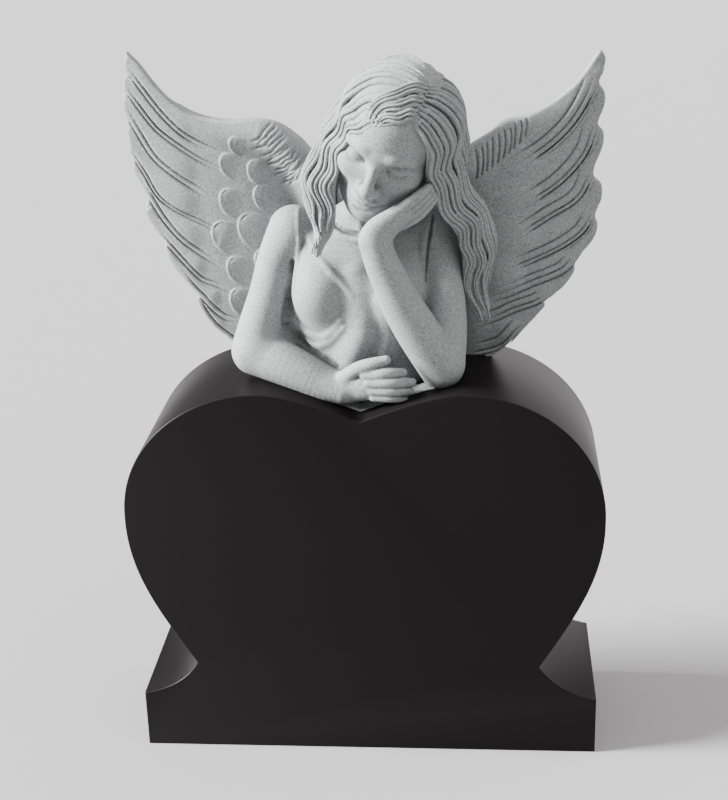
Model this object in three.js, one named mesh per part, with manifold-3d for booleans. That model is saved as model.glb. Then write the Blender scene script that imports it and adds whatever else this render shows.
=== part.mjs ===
// Heart-shaped headstone with a carved angel resting on it.
// Millimetres, +Z up, the front faces -Y, the origin is the centre of the stone's underside.
import * as THREE from 'three';
import { LoftGeometry } from 'three/addons/geometries/LoftGeometry.js';
import { mergeVertices } from 'three/addons/utils/BufferGeometryUtils.js';
import Module from 'manifold-3d';

const wasm = await Module();
wasm.setup();
const { Manifold, Mesh } = wasm;

const DEPTH = 203;
const HEART_HALF = 305;
const HEART_WIDEST = 342;
const LOBE_X = 128;
const LOBE_TOP = 508;
const CLEFT = 472;
const NOTCH = { x: 225, z: 128 };
const FOOT = { half: 300, height: 80 };
const SEAM = 0.3;

const SEAT = { left: -96, right: 78, front: -70, back: 70, rise: 8 };
const HEAD = { x: 44, y: -31, z: 811, scale: 0.9, roll: 20, pitch: 18, yaw: -12 };
const WING = {
  tips: 8, sweep: 16, upperHalf: 20, lowerHalf: 27, halfThick: 9, smooth: 1.5,
  louvre: new THREE.Vector3(-0.2, -1, 0.2).normalize(),
};
const LOCK = { halfWidth: 12, halfThick: 9, wave: 4 };

const FRONT = new THREE.Vector3(0, -1, 0);
const vec = (x, y, z) => new THREE.Vector3(x, y, z);
const radians = THREE.MathUtils.degToRad;

function solidOf(geometry) {
  const bare = new THREE.BufferGeometry();
  bare.setAttribute('position', geometry.attributes.position);
  bare.setIndex(geometry.index);
  const joined = mergeVertices(bare, 1e-4);
  return new Manifold(new Mesh({
    numProp: 3,
    vertProperties: new Float32Array(joined.attributes.position.array),
    triVerts: new Uint32Array(joined.index.array),
  }));
}

function geometryOf(solid) {
  const mesh = solid.getMesh();
  const geometry = new THREE.BufferGeometry();
  geometry.setAttribute('position', new THREE.BufferAttribute(mesh.vertProperties, 3));
  geometry.setIndex(new THREE.BufferAttribute(mesh.triVerts, 1));
  geometry.computeVertexNormals();
  return geometry;
}

function ellipsoid(centre, radii, sides = 12) {
  const ball = new THREE.SphereGeometry(1, sides, Math.round(sides * 0.7));
  ball.rotateX(Math.PI / 2);
  ball.scale(radii.x, radii.y, radii.z);
  ball.translate(centre.x, centre.y, centre.z);
  return solidOf(ball);
}

// A rounded bar: each station holds a place and the half width and half thickness there.
function bar(stations, { sides = 8, rings = 6, facing = FRONT, bluntness = 5 } = {}) {
  const spine = new THREE.CatmullRomCurve3(stations.map((s) => s.at));
  const girth = new THREE.CatmullRomCurve3(stations.map((s) => vec(s.wide, s.thick, 0)));
  const sections = [];
  for (let i = 0; i <= rings; i += 1) {
    const t = 0.5 - 0.5 * Math.cos(Math.PI * THREE.MathUtils.lerp(0.07, 0.93, i / rings));
    const round = (1 - Math.abs(2 * t - 1) ** bluntness) ** (1 / bluntness);
    const along = spine.getTangent(t);
    const side = vec(0, 0, 0).crossVectors(along, facing).normalize();
    const normal = vec(0, 0, 0).crossVectors(along, side);
    const size = girth.getPoint(t).multiplyScalar(round);
    const middle = spine.getPoint(t);
    const ring = [];
    for (let k = 0; k < sides; k += 1) {
      const turn = (2 * Math.PI * k) / sides;
      ring.push(middle.clone()
        .addScaledVector(side, size.x * Math.cos(turn))
        .addScaledVector(normal, size.y * Math.sin(turn)));
    }
    sections.push(ring);
  }
  return solidOf(new LoftGeometry(sections, { closed: true, capStart: true, capEnd: true }));
}

const station = (x, y, z, wide, thick = wide) => ({ at: vec(x, y, z), wide, thick });

// Heart and foot: the right half of the outline in X and Z, mirrored for the left half.
function heartOutline(raise = 0) {
  const half = new THREE.Path();
  half.moveTo(FOOT.half, 0);
  half.lineTo(FOOT.half, FOOT.height);
  half.quadraticCurveTo(FOOT.half - 52, FOOT.height + 10, NOTCH.x, NOTCH.z);
  half.bezierCurveTo(
    NOTCH.x + 47, NOTCH.z + 77, HEART_HALF + 2, HEART_WIDEST - 80, HEART_HALF, HEART_WIDEST,
  );
  half.absellipse(
    LOBE_X, HEART_WIDEST, HEART_HALF - LOBE_X, LOBE_TOP - HEART_WIDEST, 0, Math.PI / 2, false,
  );
  half.quadraticCurveTo(LOBE_X * 0.68, LOBE_TOP, 0, CLEFT);
  const right = half.getPoints(8);
  const left = right.slice(0, -1).reverse().map((p) => new THREE.Vector2(-p.x, p.y));
  return [...right, ...left].map((p) => new THREE.Vector2(p.x, p.y + raise));
}

function slab(outline, front, back) {
  const run = { depth: back - front, bevelEnabled: false };
  const block = new THREE.ExtrudeGeometry(new THREE.Shape(outline), run);
  block.rotateX(Math.PI / 2);
  block.translate(0, back, 0);
  return solidOf(block);
}

const heart = slab(heartOutline(), -DEPTH / 2, DEPTH / 2);

// The angel's own thin seat follows the heart's top between the two elbows.
function seat() {
  const band = slab(heartOutline(SEAT.rise), SEAT.front, SEAT.back);
  const window = new THREE.BoxGeometry(SEAT.right - SEAT.left, 2 * DEPTH, 200);
  window.translate((SEAT.left + SEAT.right) / 2, 0, LOBE_TOP - 20);
  return band.intersect(solidOf(window));
}

function torso() {
  const trunk = bar([
    station(-2, 14, 455, 92, 66),
    station(-2, 14, 520, 90, 62),
    station(0, 14, 585, 84, 60),
    station(0, 16, 640, 96, 60),
    station(2, 22, 682, 92, 50),
    station(8, 24, 716, 46, 38),
  ], { sides: 14, rings: 8 });
  const neck = bar([
    station(8, 22, 680, 40, 38),
    station(24, 6, 730, 35, 34),
    station(40, -12, 780, 36, 36),
  ], { rings: 4 });
  let body = trunk.add(neck);
  for (const side of [-1, 1]) {
    body = body.add(ellipsoid(vec(side * 40, -18, 612), vec(40, 36, 44)));
  }
  return body;
}

// Folds of the dress: raised bands that run from the shoulders and gather below the breast.
function drapery() {
  let folds = null;
  const add = (fold) => {
    folds = folds ? folds.add(fold) : fold;
  };
  for (let i = 0; i < 3; i += 1) {
    const drop = i * 19;
    add(bar([
      station(-80 + i * 4, -22, 600 - drop, 7, 5),
      station(-48 + i * 5, -45, 566 - drop * 0.9, 8, 6),
      station(-8 + i * 5, -48, 556 - drop * 0.8, 8, 6),
      station(30 + i * 4, -44, 566 - drop, 6, 5),
    ], { sides: 5, rings: 5 }));
  }
  for (const side of [-1, 1]) {
    add(bar([
      station(side * 70, 22, 704, 9, 6),
      station(side * 68, -18, 676, 9, 7),
      station(side * 60, -46, 640, 8, 7),
      station(side * 52, -58, 600, 6, 6),
    ], { sides: 5, rings: 5 }));
  }
  add(bar([
    station(-56, -14, 690, 7, 6),
    station(-30, -38, 672, 8, 7),
    station(8, -45, 664, 8, 7),
    station(44, -34, 676, 7, 6),
  ], { sides: 5, rings: 5 }));
  return folds;
}

// The angel's right arm lies across the front; its left arm props up the head.
function arms() {
  const resting = bar([
    station(-84, 22, 684, 36, 36),
    station(-116, 10, 640, 33, 33),
    station(-130, -8, 588, 31, 31),
    station(-134, -28, 540, 31, 31),
  ], { sides: 9 }).add(bar([
    station(-140, -26, 538, 30, 30),
    station(-92, -46, 526, 30, 28),
    station(-50, -56, 512, 25, 24),
    station(-16, -63, 505, 20, 18),
  ], { sides: 9 }));
  const propping = bar([
    station(88, 24, 684, 35, 35),
    station(110, 10, 640, 32, 32),
    station(115, -18, 586, 30, 30),
    station(104, -50, 532, 29, 29),
  ], { sides: 9 }).add(bar([
    station(106, -52, 524, 27, 27),
    station(84, -62, 572, 29, 28),
    station(58, -69, 634, 25, 24),
    station(34, -76, 692, 20, 19),
  ], { sides: 9 }));
  return resting.add(propping);
}

function hands() {
  let both = bar([
    station(-26, -62, 506, 19, 15),
    station(0, -70, 510, 23, 14),
    station(24, -74, 513, 22, 12),
  ], { rings: 4 });
  for (let i = 0; i < 4; i += 1) {
    const drop = i * 10.5;
    const reach = [0, 5, 4, -4][i];
    both = both.add(bar([
      station(14, -76, 530 - drop, 7.5, 7.5),
      station(40 + reach * 0.5, -81, 529 - drop, 7, 7),
      station(64 + reach, -74, 526 - drop, 5.5, 5.5),
    ], { sides: 5, rings: 4 }));
  }
  both = both.add(bar([
    station(-8, -72, 522, 10, 9),
    station(14, -83, 541, 8.5, 8),
    station(37, -82, 549, 6.5, 6),
  ], { sides: 5, rings: 4 }));
  both = both.add(bar([
    station(32, -76, 688, 19, 17),
    station(46, -80, 712, 22, 15),
    station(62, -80, 730, 21, 12),
  ], { facing: vec(0.5, -0.8, -0.2), rings: 4 }));
  for (let i = 0; i < 4; i += 1) {
    both = both.add(bar([
      station(48 + i * 8, -92 + i * 8, 728 - i * 3, 7.5, 7.5),
      station(66 + i * 8, -92 + i * 9, 746 - i * 3, 7, 7),
      station(84 + i * 6, -84 + i * 9, 764 - i * 5, 5.5, 5.5),
    ], { sides: 5, rings: 4 }));
  }
  return both;
}

// Head, in its own upright frame with the face towards -Y, then turned into place.
function placedOnNeck(solid) {
  const turn = new THREE.Euler(radians(HEAD.pitch), radians(HEAD.roll), radians(HEAD.yaw), 'YZX');
  const place = new THREE.Matrix4().compose(
    vec(HEAD.x, HEAD.y, HEAD.z),
    new THREE.Quaternion().setFromEuler(turn),
    vec(HEAD.scale, HEAD.scale, HEAD.scale),
  );
  return solid.transform(place.elements);
}

function head() {
  let skull = ellipsoid(vec(0, 12, 28), vec(70, 82, 68), 14)
    .add(ellipsoid(vec(0, -24, -24), vec(55, 58, 72), 14))
    .add(ellipsoid(vec(0, -52, -76), vec(24, 24, 20)));
  for (const side of [-1, 1]) {
    skull = skull.subtract(ellipsoid(vec(side * 27, -86, 2), vec(17, 16, 9), 6));
    skull = skull.add(ellipsoid(vec(side * 27, -62, -1), vec(14, 12, 9), 6));
  }
  skull = skull.add(bar([
    station(0, -76, 10, 6, 6),
    station(0, -84, -10, 7, 8),
    station(0, -91, -30, 11, 9),
  ], { sides: 5, rings: 4 }));
  skull = skull.add(ellipsoid(vec(0, -79, -52), vec(19, 7, 4.5), 6));
  return skull.add(ellipsoid(vec(0, -78, -60), vec(15, 7, 5), 6));
}

function hairCap() {
  const cap = ellipsoid(vec(6, 18, 26), vec(87, 90, 73), 16);
  return cap.subtract(ellipsoid(vec(4, -92, -30), vec(78, 66, 88), 14));
}

// Locks fall between a guide near the face and an outer guide, with a wave that shifts from lock to lock.
function fall(nearGuide, outerGuide, count, phase) {
  const near = new THREE.CatmullRomCurve3(nearGuide.map((p) => vec(...p)));
  const outer = new THREE.CatmullRomCurve3(outerGuide.map((p) => vec(...p)));
  const stations = 7;
  let locks = null;
  for (let i = 0; i < count; i += 1) {
    const share = i / (count - 1);
    const reach = 1 - 0.1 * ((i * 2) % 3);
    const path = [];
    for (let k = 0; k < stations; k += 1) {
      const t = (reach * k) / (stations - 1);
      const at = near.getPoint(t).lerp(outer.getPoint(t), share);
      const swing = LOCK.wave * Math.sin(9 * t + i * 1.7 + phase) * Math.min(1, 3 * t);
      const taper = t < 0.15 ? 0.55 + 3 * t : 1 - 0.55 * Math.max(0, (k / (stations - 1) - 0.6) / 0.4);
      const wide = LOCK.halfWidth * taper;
      path.push(station(at.x + swing, at.y - 0.6 * swing, at.z, wide, LOCK.halfThick * taper));
    }
    const lock = bar(path, { sides: 4, rings: 7 });
    locks = locks ? locks.add(lock) : lock;
  }
  return locks;
}

function hair() {
  const left = fall(
    [[93, -52, 855], [40, -82, 846], [-4, -76, 802], [-19, -60, 747], [-24, -54, 698], [-52, -58, 644]],
    [[97, -27, 868], [30, -2, 890], [-34, 6, 836], [-54, 4, 753], [-60, 8, 701], [-68, 8, 656]],
    6, 0,
  );
  const right = fall(
    [[100, -52, 853], [106, -70, 813], [103, -54, 762], [118, -30, 707], [146, -8, 640], [160, 2, 574]],
    [[104, -27, 868], [126, -6, 837], [134, 10, 770], [140, 18, 712], [168, 26, 650], [162, 26, 584]],
    5, 2,
  );
  const back = fall(
    [[70, 10, 885], [8, 50, 872], [-30, 56, 800], [-46, 56, 740], [-52, 72, 680], [-50, 78, 620]],
    [[100, 0, 880], [112, 40, 850], [112, 56, 790], [104, 62, 730], [92, 76, 680], [84, 80, 620]],
    5, 1,
  );
  const mass = bar([
    station(48, 26, 840, 60, 36),
    station(40, 34, 780, 82, 36),
    station(28, 48, 700, 80, 26),
    station(20, 62, 620, 62, 14),
  ]);
  return left.add(right).add(back).add(mass);
}

// One wing for X above zero: long feathers fan out from the roots to the scalloped outer edge.
function wing(edge, wristDrop) {
  const tipLine = new THREE.CatmullRomCurve3(edge);
  const rootLine = new THREE.CatmullRomCurve3([
    vec(132, 52, 764), vec(142, 54, 655), vec(140, 54, 588), vec(120, 50, 528),
  ]);
  let plumage = bar([
    station(104, 50, 505, 34, 15),
    station(112, 50, 600, 52, 17),
    station(114, 50, 690, 64, 18),
    station(96, 48, 770, 48, 18),
  ]);
  plumage = plumage.add(bar([
    station(48, 52, 690, 24, 22),
    station(74, 46, 760 - wristDrop, 26, 22),
    station(116, 48, 792 - wristDrop, 24, 19),
    station(168, 56, 796 - wristDrop / 2, 17, 12),
    station(226, 60, 826, 13, 9),
    station(288, 62, 894, 6, 6),
  ], { sides: 7, rings: 8 }));
  for (let i = 0; i < WING.tips; i += 1) {
    const share = i / (WING.tips - 1);
    const tip = tipLine.getPoint(share);
    const root = rootLine.getPoint(share);
    const middle = root.clone().lerp(tip, 0.5);
    middle.z -= WING.sweep * (1 - share);
    const wide = THREE.MathUtils.lerp(WING.upperHalf, WING.lowerHalf, share);
    plumage = plumage.add(bar([
      station(root.x, root.y, root.z, wide * 0.8, WING.halfThick),
      station(middle.x, middle.y, middle.z, wide, WING.halfThick),
      station(tip.x, tip.y, tip.z, wide * 0.9, WING.halfThick * 0.7),
    ], { sides: 4, rings: 6, facing: WING.louvre, bluntness: 3 }));
  }
  for (let row = 0; row < 2; row += 1) {
    const count = 5 - row;
    for (let i = 0; i < count; i += 1) {
      const share = (i + 0.2) / count;
      const tip = rootLine.getPoint(share).add(vec(44 - 30 * row, -12 - 6 * row, 30 - 26 * share + 6 * row));
      const rise = 44 * (1 - share) + 4;
      plumage = plumage.add(bar([
        station(tip.x - 56, tip.y + 2, tip.z - rise, 18, 8),
        station(tip.x - 26, tip.y - 1, tip.z - rise * 0.6, 22, 8),
        station(tip.x, tip.y + 3, tip.z, 19, 6),
      ], { sides: 4, rings: 4, facing: WING.louvre, bluntness: 3 }));
    }
  }
  return plumage.simplify(WING.smooth);
}

const rightWing = wing([
  vec(289, 62, 898), vec(301, 62, 840), vec(298, 62, 756), vec(262, 60, 646), vec(190, 54, 540),
], 12);
const leftWing = wing([
  vec(289, 62, 898), vec(298, 62, 840), vec(288, 62, 756), vec(250, 60, 646), vec(184, 54, 548),
], 0).mirror([1, 0, 0]);
const stoneSpace = slab(heartOutline(SEAM), -DEPTH, DEPTH);

// The outer skin alone, so that hollows enclosed between pieces are solid stone.
function solidThrough(solid) {
  return solid.decompose().reduce((best, part) => (part.volume() > best.volume() ? part : best));
}

const carved = seat()
  .add(torso())
  .add(drapery())
  .add(arms())
  .add(hands())
  .add(placedOnNeck(head().add(hairCap())))
  .add(hair())
  .add(leftWing)
  .add(rightWing)
  .simplify(3.2)
  .subtract(stoneSpace);
const angel = solidThrough(carved);

const group = new THREE.Group();

function addPiece(name, solid, colour, roughness) {
  const material = new THREE.MeshStandardMaterial({ color: colour, roughness });
  const mesh = new THREE.Mesh(geometryOf(solid), material);
  mesh.name = name;
  group.add(mesh);
}

addPiece('heart_stone', heart, '#262425', 0.15);
addPiece('angel', angel, '#b3b7b6', 0.85);

export default group;
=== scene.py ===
import math
import random

import bmesh
import bpy
import numpy as np
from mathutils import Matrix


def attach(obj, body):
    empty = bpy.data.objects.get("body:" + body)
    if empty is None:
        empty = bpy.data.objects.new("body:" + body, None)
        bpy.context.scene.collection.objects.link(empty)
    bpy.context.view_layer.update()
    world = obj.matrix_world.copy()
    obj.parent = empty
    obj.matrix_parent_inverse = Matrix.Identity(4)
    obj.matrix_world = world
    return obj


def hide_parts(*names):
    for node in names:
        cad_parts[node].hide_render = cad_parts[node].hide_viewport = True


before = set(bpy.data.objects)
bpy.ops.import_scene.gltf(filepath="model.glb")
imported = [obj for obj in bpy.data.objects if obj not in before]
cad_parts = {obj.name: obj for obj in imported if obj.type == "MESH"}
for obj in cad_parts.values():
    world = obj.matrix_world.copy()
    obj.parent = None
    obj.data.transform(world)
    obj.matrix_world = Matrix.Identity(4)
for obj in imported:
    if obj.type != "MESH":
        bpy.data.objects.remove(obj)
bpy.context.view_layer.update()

import openvdb
from mathutils import Matrix, Vector

mm = 0.001  # the carving below is laid out in millimetres
setting = {
    "seam": 0.3,  # gap under the angel
    "sharp": 50,  # degrees from which an edge stays sharp
    "triangles": {  # most for each piece
        "heartStone": 5000, "angelHead": 110000, "angelBody": 150000, "angelHairLeft": 180000,
        "angelHairRight": 160000, "angelHairBack": 70000, "leftWing": 145000, "rightWing": 145000,
    },
}


# Carving: distances on a block of small cells, joined and cut softly
def carvingBlock(low, high, cell):
    start = np.floor(np.array(low) / cell).astype(int)
    count = np.ceil(np.array(high) / cell).astype(int) - start + 1
    axes = [((start[i] + np.arange(count[i])) * cell).astype(np.float32) for i in range(3)]
    return {"start": start, "cell": cell, "axes": axes, "field": np.full(count, 60.0, np.float32)}


def reached(block, low, high):
    spans = []
    for i in range(3):
        first = int(np.floor(low[i] / block["cell"])) - block["start"][i]
        last = int(np.ceil(high[i] / block["cell"])) - block["start"][i] + 1
        size = block["field"].shape[i]
        spans.append(slice(min(max(first, 0), size), min(max(last, 0), size)))
    x = block["axes"][0][spans[0]][:, None, None]
    y = block["axes"][1][spans[1]][None, :, None]
    z = block["axes"][2][spans[2]][None, None, :]
    return tuple(spans), x, y, z


def softMin(a, b, soft):
    if soft <= 0:
        return np.minimum(a, b)
    lap = np.maximum(soft - np.abs(a - b), 0) / soft
    return np.minimum(a, b) - lap * lap * soft * 0.25


def joined(field, near, soft, cut):
    return -softMin(-field, near, soft) if cut else softMin(field, near, soft)


def strike(block, low, high, distance, soft, cut):
    margin = soft + 4 * block["cell"]
    where, x, y, z = reached(block, np.array(low) - margin, np.array(high) + margin)
    if block["field"][where].size == 0:
        return
    near = distance(x, y, z).astype(np.float32)
    block["field"][where] = joined(block["field"][where], near, soft, cut)


def addBall(block, centre, radii, soft=6, turn=None, cut=False):
    r = np.array(radii, float)

    def distance(x, y, z):
        p = [x - centre[0], y - centre[1], z - centre[2]]
        if turn is not None:
            p = [turn[0][i] * p[0] + turn[1][i] * p[1] + turn[2][i] * p[2] for i in range(3)]
        near = np.sqrt((p[0] / r[0]) ** 2 + (p[1] / r[1]) ** 2 + (p[2] / r[2]) ** 2)
        steep = np.sqrt((p[0] / r[0] ** 2) ** 2 + (p[1] / r[1] ** 2) ** 2 + (p[2] / r[2] ** 2) ** 2)
        return near * (near - 1) / np.maximum(steep, 1e-6)

    span = r if turn is None else np.full(3, r.max())
    strike(block, np.array(centre) - span, np.array(centre) + span, distance, soft, cut)


def smoothPath(rows, steps):
    rows = np.array(rows, float)
    padded = np.vstack([2 * rows[0] - rows[1], rows, 2 * rows[-1] - rows[-2]])
    out = []
    for i in range(len(rows) - 1):
        a, b, c, d = padded[i:i + 4]
        for k in range(steps):
            t = k / steps
            out.append(0.5 * (2 * b + (c - a) * t + (2 * a - 5 * b + 4 * c - d) * t * t
                              + (3 * b - a - 3 * c + d) * t ** 3))
    out.append(rows[-1])
    return np.array(out)


def addLimb(block, stations, soft=6, flat=None, cut=False, steps=4):
    path = smoothPath(stations, steps)  # each row is x, y, z and a radius

    def distance(x, y, z):
        best = None
        for a, b in zip(path[:-1], path[1:]):
            ab = b[:3] - a[:3]
            length = max(float(ab @ ab), 1e-6)
            px, py, pz = x - a[0], y - a[1], z - a[2]
            t = np.clip((px * ab[0] + py * ab[1] + pz * ab[2]) / length, 0, 1)
            dx, dy, dz = px - t * ab[0], py - t * ab[1], pz - t * ab[2]
            square = dx * dx + dy * dy + dz * dz
            if flat is not None:  # thinner along the given direction
                thin = dx * flat[0] + dy * flat[1] + dz * flat[2]
                square = square + thin * thin * (1 / flat[3] ** 2 - 1)
            near = np.sqrt(square) - (a[3] + t * (b[3] - a[3]))
            best = near if best is None else np.minimum(best, near)
        return best

    reach = path[:, 3].max()
    strike(block, path[:, :3].min(0) - reach, path[:, :3].max(0) + reach, distance, soft, cut)


def bothSides(rows):
    return [rows, [(-row[0],) + tuple(row[1:]) for row in rows]]


def newPiece(name, points, edges, faces):
    mesh = bpy.data.meshes.new(name)
    mesh.from_pydata(points, edges, faces)
    piece = bpy.data.objects.new(name, mesh)
    bpy.context.scene.collection.objects.link(piece)
    return piece


def readOut(rows, label, width, kind):
    values = np.empty(len(rows) * width, kind)
    rows.foreach_get(label, values)
    return values.reshape(-1, width)


def addNode(tree, kind, inputs, **choices):  # a node with its inputs set or linked
    node = tree.nodes.new(kind)
    for label, choice in choices.items():
        setattr(node, label, choice)
    for label, part in inputs.items():
        if isinstance(part, bpy.types.NodeSocket):
            tree.links.new(part, node.inputs[label])
        else:
            node.inputs[label].default_value = part
    return node


def pieceFromBlock(name, block, place=None):
    grid = openvdb.FloatGrid(3 * block["cell"])
    grid.copyFromArray(np.clip(block["field"], -3 * block["cell"], 3 * block["cell"]))
    points, triangles, quads = grid.convertToPolygons(isovalue=0.0, adaptivity=0.0)
    points = (points + block["start"]) * block["cell"] * mm
    corners = points[quads.astype(int)]
    volume = np.einsum("ij,ij->i", corners[:, 0], np.cross(corners[:, 1], corners[:, 2])).sum()
    if volume < 0:
        quads = quads[:, ::-1]
    piece = newPiece(name, points.tolist(), [], quads.tolist())
    if place is not None:
        piece.data.transform(place)
    return piece


def settle(piece):  # bake modifiers into a plain mesh
    bpy.context.view_layer.update()
    made = piece.evaluated_get(bpy.context.evaluated_depsgraph_get())
    mesh = bpy.data.meshes.new_from_object(made)
    mesh.name = piece.name
    piece.modifiers.clear()
    piece.data = mesh
    return piece


def dropFins(mesh):  # thinning can leave faces back to back
    work = bmesh.new()
    work.from_mesh(mesh)
    fins = [None]
    while fins:
        pairs = {}
        for face in work.faces:
            pairs.setdefault(frozenset(corner.index for corner in face.verts), []).append(face)
        fins = [face for faces in pairs.values() if len(faces) > 1 for face in faces]
        bmesh.ops.delete(work, geom=fins, context="FACES")
        work.verts.index_update()
    work.to_mesh(mesh)
    work.free()
    mesh.validate()


def triangleCount(piece):
    return sum(len(face.vertices) - 2 for face in piece.data.polygons)


def thinOut(piece, limit):
    count = triangleCount(piece)
    if count > limit:
        thin = piece.modifiers.new("thin", "DECIMATE")
        thin.ratio = limit / count
        settle(piece)
        dropFins(piece.data)
    piece.data.shade_smooth()
    piece.data.set_sharp_from_angle(angle=math.radians(setting["sharp"]))


# Head: carved upright with the face towards -Y, then turned into its pose
headPose = {
    "at": (44, -31, 811),
    "scale": 0.9,
    "roll": 20,
    "yaw": -8,
    "pitch": 27,
}


def headPlace():
    turn = (Matrix.Rotation(math.radians(headPose["roll"]), 4, "Y")
            @ Matrix.Rotation(math.radians(headPose["yaw"]), 4, "Z")
            @ Matrix.Rotation(math.radians(headPose["pitch"]), 4, "X"))
    return Matrix.Translation(Vector(headPose["at"]) * mm) @ turn @ Matrix.Scale(headPose["scale"], 4)


face = {
    "cell": 1.0,
    "eyeApart": 29,
    "noseReach": 89,
    "mouthHeight": -56,
}


def carveHead():
    block = carvingBlock((-80, -108, -110), (80, 104, 104), face["cell"])
    addBall(block, (0, 12, 30), (69, 84, 66), 0)
    addBall(block, (0, -18, -28), (56, 54, 68), 18)
    addBall(block, (0, -50, -74), (25, 26, 22), 16)
    for rows in bothSides([(14, -58, -82, 13), (34, -36, -72, 14), (47, -8, -50, 15)]):
        addLimb(block, rows, 14)  # jaw
    eye = face["eyeApart"]
    for side in (-1, 1):
        addBall(block, (side * 37, -42, -24), (20, 22, 20), 16)  # cheek
        addBall(block, (side * (eye + 1), -71, 1), (18, 12, 10), 9, cut=True)  # eye hollow
    for rows in bothSides([(8, -67, 13, 6), (24, -66, 19, 6), (44, -52, 15, 5)]):
        addLimb(block, rows, 10)  # brow
    for side in (-1, 1):
        addBall(block, (side * eye, -51, -1), (15.5, 13.5, 10.5), 3)  # closed lid
    lash = [(14.5, -61.5, -3, 0.8), (22, -66, -7.5, 1.2), (31, -65.5, -9, 1.3), (43, -57.5, -5, 0.8)]
    for rows in bothSides(lash):
        addLimb(block, rows, 2, cut=True)
    for rows in bothSides([(15, -62, 5, 0.8), (27, -65, 10.5, 1.0), (43, -57, 5, 0.8)]):
        addLimb(block, rows, 2.5, cut=True)  # lid crease
    nose = face["noseReach"]
    addLimb(block, [(0, -64, 15, 7), (0, -73, -4, 6.5), (0, -nose + 6, -24, 8)], 9)
    addBall(block, (0, -nose + 1, -30), (10, 9, 8.5), 5)
    for side in (-1, 1):
        addBall(block, (side * 11, -77, -34), (7, 9, 6.5), 5)  # wing of the nose
        addBall(block, (side * 5.5, -84, -41), (3.2, 4.5, 3), 2, cut=True)  # nostril
    mouth = face["mouthHeight"]
    addBall(block, (0, -56, mouth), (29, 24, 20), 14)
    upper = [(0, -81.5, mouth + 5, 4), (11, -79, mouth + 4.4, 3.8), (23, -69.5, mouth + 1, 1.6)]
    for rows in bothSides(upper):
        addLimb(block, rows, 3)
    addLimb(block, [(-18, -71, mouth - 3, 2.4), (-9, -78, mouth - 5.5, 4.4), (0, -79.5, mouth - 6, 4.8),
                    (9, -78, mouth - 5.5, 4.4), (18, -71, mouth - 3, 2.4)], 3)  # lower lip
    parting = [(-25, -69, mouth + 0.6, 0.8), (-12, -80, mouth - 0.4, 1.2), (0, -83.5, mouth - 0.8, 1.3),
               (12, -80, mouth - 0.4, 1.2), (25, -69, mouth + 0.6, 0.8)]
    addLimb(block, parting, 2, cut=True)
    addLimb(block, [(0, -84.5, mouth + 14, 1.8), (0, -86, mouth + 9, 2.2)], 3, cut=True)
    addBall(block, (0, -80, mouth - 16), (13, 5, 4.5), 7, cut=True)
    addBall(block, (0, -64, -83), (15, 14, 12), 9)  # chin
    return pieceFromBlock("angelHead", block, headPlace())


# Stone tablet: outline in X and Z, as in the solids
stone = {
    "depth": 203, "half": 305, "widest": 342, "lobeX": 128, "lobeTop": 508, "cleft": 472,
    "notchX": 225, "notchZ": 128, "footHalf": 300, "footHeight": 80,
    "arris": 1.6,
}


def bezier(points, count):
    t = np.linspace(0, 1, count)[:, None]
    p = np.array(points, float)
    if len(p) == 3:
        return (1 - t) ** 2 * p[0] + 2 * t * (1 - t) * p[1] + t * t * p[2]
    return (1 - t) ** 3 * p[0] + 3 * t * (1 - t) ** 2 * p[1] + 3 * t * t * (1 - t) * p[2] + t ** 3 * p[3]


def stoneHalf(count=24):
    s = stone
    scoop = bezier([(s["footHalf"], s["footHeight"]), (s["footHalf"] - 52, s["footHeight"] + 10),
                    (s["notchX"], s["notchZ"])], count)
    flank = bezier([(s["notchX"], s["notchZ"]), (s["notchX"] + 47, s["notchZ"] + 77),
                    (s["half"] + 2, s["widest"] - 80), (s["half"], s["widest"])], count)
    a = np.linspace(0, math.pi / 2, 2 * count)
    lobe = np.stack([s["lobeX"] + (s["half"] - s["lobeX"]) * np.cos(a),
                     s["widest"] + (s["lobeTop"] - s["widest"]) * np.sin(a)], 1)
    dip = bezier([(s["lobeX"], s["lobeTop"]), (s["lobeX"] * 0.68, s["lobeTop"]), (0, s["cleft"])], count)
    return scoop, flank, lobe, dip


def stoneTop(x):  # height of the heart's upper edge above x
    lobe, dip = stoneHalf()[2:]
    edge = np.vstack([lobe, dip])[::-1]
    return np.interp(np.abs(x), edge[:, 0], edge[:, 1])


def clearStone(block):  # nothing of the angel reaches into the heart
    floor = (stoneTop(block["axes"][0]) + setting["seam"])[:, None, None]
    height = block["axes"][2][None, None, :]
    block["field"] = np.maximum(block["field"], (floor - height).astype(np.float32))


# Torso, arms and hands
figure = {
    "cell": 1.5,
    "seat": {"left": -80, "right": 60, "front": -62, "back": 68, "rise": 7, "slope": 0},
    "ledge": {"left": -66, "right": 76, "front": -69, "back": -45, "rise": 2.5, "slope": 1},
    "lip": {"left": 30, "right": 120, "front": -69, "back": -40, "rise": 2.5, "slope": 0},
}


def frontAt(block, x, z):  # the first surface met from the front
    i = int(round(x / block["cell"])) - block["start"][0]
    k = int(round(z / block["cell"])) - block["start"][2]
    inside = np.nonzero(block["field"][i, :, k] < 0)[0]
    return float(block["axes"][1][inside[0]]) if len(inside) else 0.0


def layOn(block, rows, soft, sink=0, cut=False):  # rows of x, z, radius along the front
    path = smoothPath([(x, 0, z, r) for x, z, r in rows], 3)
    for row in path:
        row[1] = frontAt(block, row[0], row[2]) + sink
    addLimb(block, path, soft, steps=1, cut=cut)


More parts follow.
